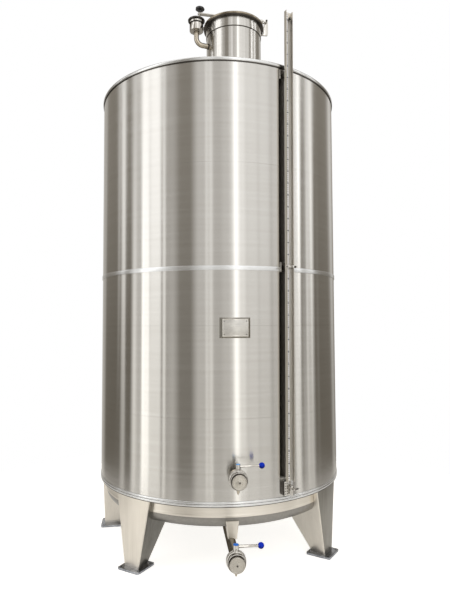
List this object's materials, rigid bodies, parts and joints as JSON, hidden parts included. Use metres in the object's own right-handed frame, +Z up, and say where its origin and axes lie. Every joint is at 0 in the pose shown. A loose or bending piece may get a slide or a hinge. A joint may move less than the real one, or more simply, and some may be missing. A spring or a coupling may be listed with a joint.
{
  "type": "storage tank",
  "caption": "Upright cylindrical storage tank on legs, with a conical roof, offset manway with clamped lid, level gauge and two outlet valves.",
  "frame": {"origin": "on the floor, under the middle of the whole object's length and width; the tank's own axis stands 0.1065 m behind it on +Y", "axes": "+Z up along the tank's axis, -Y towards the side with the valves and the label, +X to the right seen from there"},
  "size_m": [1.6376, 1.8814, 3.7037],
  "materials": {
    "brushed_steel": "fine horizontal brushed grain",
    "polished_steel": "polished",
    "black_plastic": "satin",
    "blue_plastic": "glossy",
    "white_scale": "printed strip",
    "clear_tube": "clear tube",
    "label_metal": "satin plate"
  },
  "bodies": {
    "tank": {"shell_upper": "brushed_steel", "shell_lower": "brushed_steel", "mid_band": "polished_steel", "top_rim": "polished_steel", "bottom_rim": "polished_steel", "roof": "brushed_steel", "skirt_ring": "brushed_steel", "bottom_dish": "brushed_steel", "drain_sump": "polished_steel", "leg_front_left": "brushed_steel", "leg_front_right": "brushed_steel", "leg_side_left": "brushed_steel", "leg_side_right": "brushed_steel", "leg_rear": "brushed_steel", "manway_neck": "brushed_steel", "manway_collar": "brushed_steel", "manway_flange": "polished_steel", "hinge_lug": "polished_steel", "clamp_fork": "polished_steel", "breather_pipe": "polished_steel", "breather_cup": "polished_steel", "breather_cap": "polished_steel", "gauge_channel": "brushed_steel", "gauge_scale": "white_scale", "gauge_tube": "clear_tube", "gauge_bracket_top": "brushed_steel", "gauge_bracket_middle": "brushed_steel", "gauge_clasp": "brushed_steel", "gauge_base": "brushed_steel", "gauge_cock": "polished_steel", "label_holder": "brushed_steel", "label_plate": "label_metal", "upper_outlet_pipe": "polished_steel", "upper_valve_body": "polished_steel", "upper_end_cap": "brushed_steel", "lower_outlet_pipe": "polished_steel", "lower_valve_body": "polished_steel", "lower_end_cap": "brushed_steel", "drain_support": "brushed_steel"},
    "manway_lid": {"lid": "polished_steel", "lid_bar": "polished_steel", "clamp_stud": "polished_steel"},
    "clamp_hand_knob": {"clamp_knob": "black_plastic"},
    "upper_handle": {"upper_valve_handle": "polished_steel", "upper_handle_ball": "blue_plastic"},
    "lower_handle": {"lower_valve_handle": "polished_steel", "lower_handle_ball": "blue_plastic"},
    "cock_lever": {"gauge_cock_lever": "polished_steel"}
  },
  "joints": [
    {"name": "upper_valve_turn", "type": "hinge", "parent": "tank", "child": "upper_handle", "pos_m": [0, -0.7825, 0.65], "axis": [0, 0, -1], "range_deg": [0, 90]},
    {"name": "lower_valve_turn", "type": "hinge", "parent": "tank", "child": "lower_handle", "pos_m": [-0.02662, -0.87714, 0.275], "axis": [0, 0, -1], "range_deg": [0, 90]},
    {"name": "lid_hinge", "type": "hinge", "parent": "tank", "child": "manway_lid", "pos_m": [0.358, 0.1065, 3.63], "axis": [0, 1, 0], "range_deg": [0, 100]},
    {"name": "clamp_knob_turn", "type": "hinge", "parent": "manway_lid", "child": "clamp_hand_knob", "pos_m": [-0.132, 0.1065, 3.655], "axis": [0.051, 0, 0.9987], "continuous": true},
    {"name": "gauge_cock_turn", "type": "hinge", "parent": "tank", "child": "cock_lever", "pos_m": [0.3252, -0.68381, 0.4869], "axis": [0.3778, -0.9259, 0], "range_deg": [0, 90]}
  ]
}
